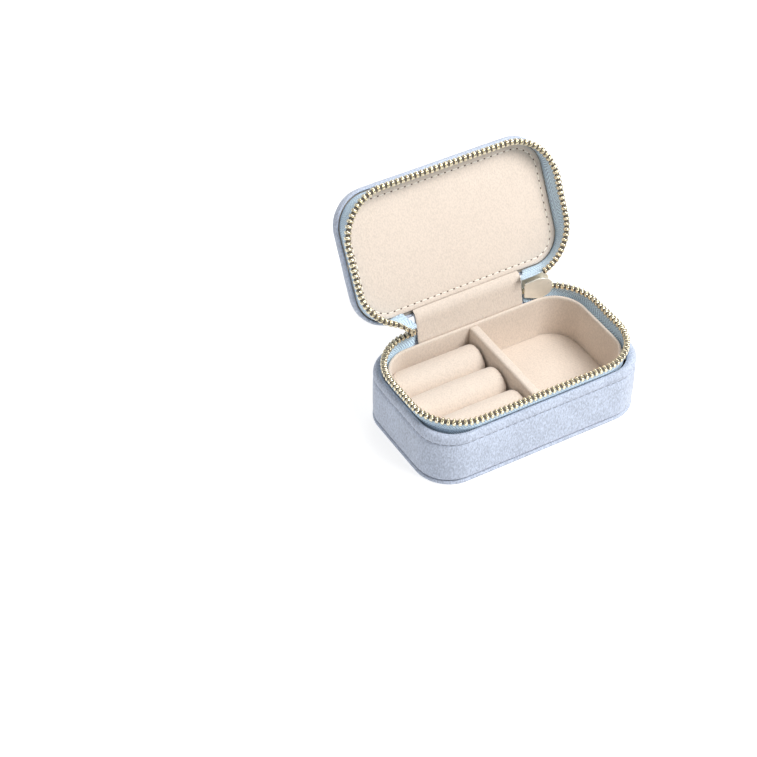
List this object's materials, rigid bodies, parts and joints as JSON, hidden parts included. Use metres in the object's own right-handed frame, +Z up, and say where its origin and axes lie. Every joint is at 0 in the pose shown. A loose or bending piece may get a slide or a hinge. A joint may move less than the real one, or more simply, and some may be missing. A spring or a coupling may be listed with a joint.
{
  "type": "travel jewelry case",
  "caption": "Small zipped velvet jewelry case, shown open: suede tray with ring rolls and an open compartment, and a padded lid on a fabric hinge.",
  "frame": {"origin": "middle of the base's underside", "axes": "+X along the length, +Y to the hinge at the back, +Z up; the lid is open at rest"},
  "size_m": [0.1, 0.0894, 0.09],
  "materials": {
    "velvet": "short pale blue pile",
    "suede": "warm beige microsuede",
    "zipper_tape": "light blue herringbone tape",
    "zipper_teeth": "pale gold plated",
    "slider_gold": "polished pale gold plated",
    "board": "greyboard",
    "foam": "thin white foam"
  },
  "bodies": {
    "base": {"base_bottom_panel": "velvet", "base_board_tub": "board", "base_foam_wall": "foam", "base_velvet_wall": "velvet", "tray_liner": "suede", "tray_floor_pad": "suede", "tray_divider": "suede", "ring_bed": "board", "ring_roll_back": "suede", "ring_roll_middle": "suede", "ring_roll_front": "suede", "base_zipper_tape": "zipper_tape", "base_zipper_chain": "zipper_teeth", "hinge_lining_strip": "suede", "hinge_velvet_strip": "velvet"},
    "lid": {"lid_velvet_cover": "velvet", "lid_foam_pad": "foam", "lid_board": "board", "lid_lining_panel": "suede", "lid_zipper_tape": "zipper_tape", "lid_zipper_chain": "zipper_teeth", "lid_hinge_lining": "suede", "lid_hinge_velvet": "velvet"},
    "slider": {"slider_body": "slider_gold", "slider_bridge": "slider_gold"},
    "pull": {"pull_bail": "slider_gold", "pull_tab": "slider_gold"}
  },
  "joints": [
    {"name": "lid_hinge", "type": "hinge", "parent": "base", "child": "lid", "pos_m": [0, 0.028, 0.0374], "axis": [1, 0, 0], "range_deg": [0, 118]},
    {"name": "slider_travel", "type": "hinge", "parent": "base", "child": "slider", "pos_m": [0.0284, 0.0079, 0.031], "axis": [0, 0, -1], "range_deg": [0, 77.4]},
    {"name": "pull_swing", "type": "hinge", "parent": "slider", "child": "pull", "pos_m": [0.03395, 0.03272, 0.031], "axis": [0.9759, -0.2182, 0], "range_deg": [0, 100]}
  ]
}
